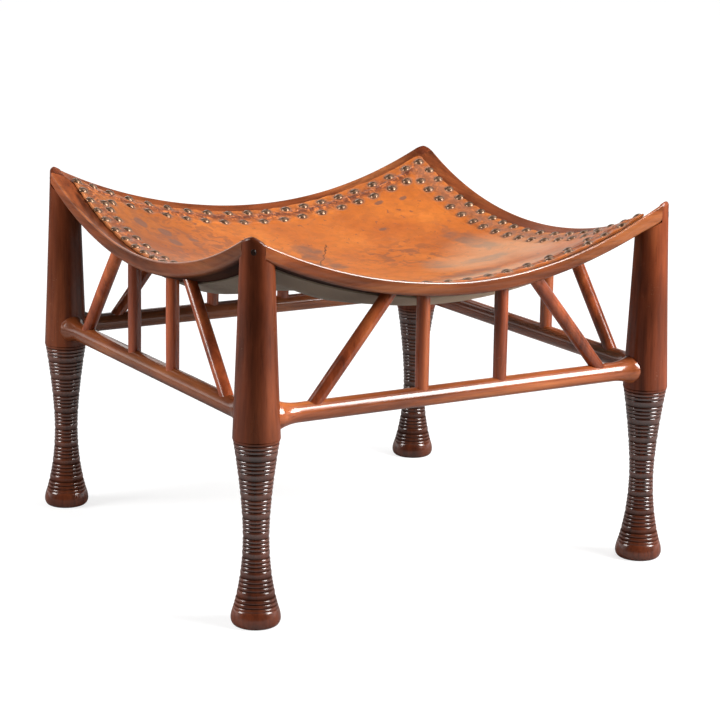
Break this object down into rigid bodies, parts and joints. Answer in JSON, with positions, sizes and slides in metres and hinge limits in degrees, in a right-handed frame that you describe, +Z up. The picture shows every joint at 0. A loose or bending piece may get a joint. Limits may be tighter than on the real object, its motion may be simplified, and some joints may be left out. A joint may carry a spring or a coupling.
{
  "type": "leather-seated lattice stool",
  "caption": "Low square stool with a dished leather seat on curved rails, ring-turned legs and a strutted frame below.",
  "frame": {"origin": "on the floor, under the middle of the seat", "axes": "+Z up, -Y towards the front; the four sides are alike"},
  "size_m": [0.448, 0.448, 0.3342],
  "materials": {
    "turned_mahogany": "dark red-brown French polish, glossy",
    "polished_mahogany": "red-brown French polish, glossy, worn lighter on edges",
    "dark_peg": "dark end grain",
    "tan_leather": "tan hide, rubbed and marked with age",
    "lining_cloth": "grey-beige plain cloth",
    "padding": "brown hair stuffing",
    "nail_heads": "domed upholstery nails, darkened brass"
  },
  "bodies": {
    "root": {"leg_front_left": "turned_mahogany", "leg_front_right": "turned_mahogany", "leg_back_right": "turned_mahogany", "leg_back_left": "turned_mahogany", "rail_front": "polished_mahogany", "rail_right": "polished_mahogany", "rail_back": "polished_mahogany", "rail_left": "polished_mahogany", "stretcher_front": "polished_mahogany", "stretcher_right": "polished_mahogany", "stretcher_back": "polished_mahogany", "stretcher_left": "polished_mahogany", "strut_front_1": "polished_mahogany", "strut_front_2": "polished_mahogany", "strut_front_3": "polished_mahogany", "strut_front_4": "polished_mahogany", "strut_right_1": "polished_mahogany", "strut_right_2": "polished_mahogany", "strut_right_3": "polished_mahogany", "strut_right_4": "polished_mahogany", "strut_back_1": "polished_mahogany", "strut_back_2": "polished_mahogany", "strut_back_3": "polished_mahogany", "strut_back_4": "polished_mahogany", "strut_left_1": "polished_mahogany", "strut_left_2": "polished_mahogany", "strut_left_3": "polished_mahogany", "strut_left_4": "polished_mahogany", "peg_front_left": "dark_peg", "peg_front_right": "dark_peg", "peg_back_right": "dark_peg", "peg_back_left": "dark_peg", "seat_leather": "tan_leather", "seat_lining": "lining_cloth", "seat_padding": "padding"}
  },
  "joints": []
}
